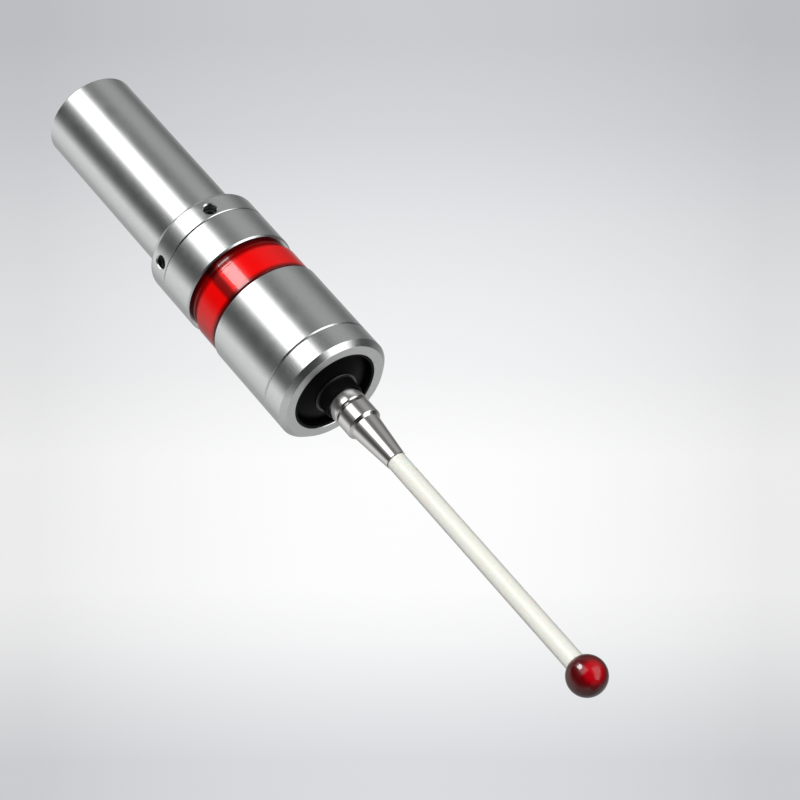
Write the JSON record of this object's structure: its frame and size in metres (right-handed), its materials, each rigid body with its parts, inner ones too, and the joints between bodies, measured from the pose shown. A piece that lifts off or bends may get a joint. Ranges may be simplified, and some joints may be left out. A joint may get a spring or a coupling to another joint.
{
  "type": "edge finder",
  "caption": "Electronic edge finder with a straight shank, a red light ring, a rubber boot and a sprung ruby ball stylus on a ceramic stem.",
  "frame": {"origin": "on the axis at the shoulder where the shank leaves the collar", "axes": "+Z along the axis towards the free end of the shank, so the stylus hangs down; +X along the pins that the gimbal ring turns on"},
  "size_m": [0.025, 0.025, 0.1755],
  "materials": {
    "satin_steel": "fine turned satin finish",
    "polished_steel": "polished",
    "hardened_steel": "ground",
    "spring_steel": "bright drawn wire",
    "cell_steel": "nickel plated",
    "black_steel": "black oxide",
    "red_translucent": "clear red moulding, glossy",
    "black_rubber": "moulded rubber, slight sheen",
    "black_plastic": "moulded",
    "white_plastic": "moulded",
    "board_green": "solder mask",
    "brass": "bright",
    "red_lamp": "moulded lens",
    "ivory_ceramic": "ground, smooth",
    "ruby": "polished synthetic ruby"
  },
  "bodies": {
    "housing": {"shank": "satin_steel", "rear_housing": "satin_steel", "front_housing": "satin_steel", "nose_cap": "satin_steel", "adjusting_screws": "black_steel", "clamp_screw": "black_steel", "light_ring": "red_translucent", "rear_seal": "black_rubber", "front_seal": "black_rubber", "boot": "black_rubber", "battery_spring": "spring_steel", "main_spring": "spring_steel", "battery_holder": "black_plastic", "front_terminal": "brass", "circuit_board": "board_green", "driver_chip": "black_plastic", "sensor_lead": "brass", "spring_seat": "black_plastic", "guide_sleeve": "hardened_steel", "anti_turn_pin": "hardened_steel", "contact_ring": "brass", "insulating_ring": "white_plastic", "button_cell_1": "cell_steel", "button_cell_2": "cell_steel", "button_cell_3": "cell_steel", "lamp_1": "red_lamp", "lamp_2": "red_lamp", "lamp_3": "red_lamp", "lamp_4": "red_lamp", "lamp_5": "red_lamp", "lamp_6": "red_lamp"},
    "plunger": {"plunger": "hardened_steel", "plunger_pins": "hardened_steel", "contact_pin": "brass", "contact_bush": "white_plastic"},
    "gimbal": {"gimbal_ring": "hardened_steel", "cross_pin": "hardened_steel"},
    "stylus": {"stylus_holder": "polished_steel", "insulating_cap": "white_plastic", "contact_button": "brass", "stylus_base": "polished_steel", "ceramic_stem": "ivory_ceramic", "ruby_ball": "ruby"}
  },
  "joints": [
    {"name": "stylus_push", "type": "slide", "parent": "housing", "child": "plunger", "axis": [0, 0, 1], "range_m": [0, 0.003], "stiffness_N_per_m": 900, "springref_m": -0.002, "deforming": ["main_spring", "boot"]},
    {"name": "stylus_tilt_x", "type": "hinge", "parent": "plunger", "child": "gimbal", "pos_m": [0, 0, -0.041], "axis": [1, 0, 0], "range_deg": [-8, 8], "stiffness_Nm_per_rad": 0.25},
    {"name": "stylus_tilt_y", "type": "hinge", "parent": "gimbal", "child": "stylus", "pos_m": [0, 0, -0.041], "axis": [0, 1, 0], "range_deg": [-8, 8], "stiffness_Nm_per_rad": 0.25}
  ]
}
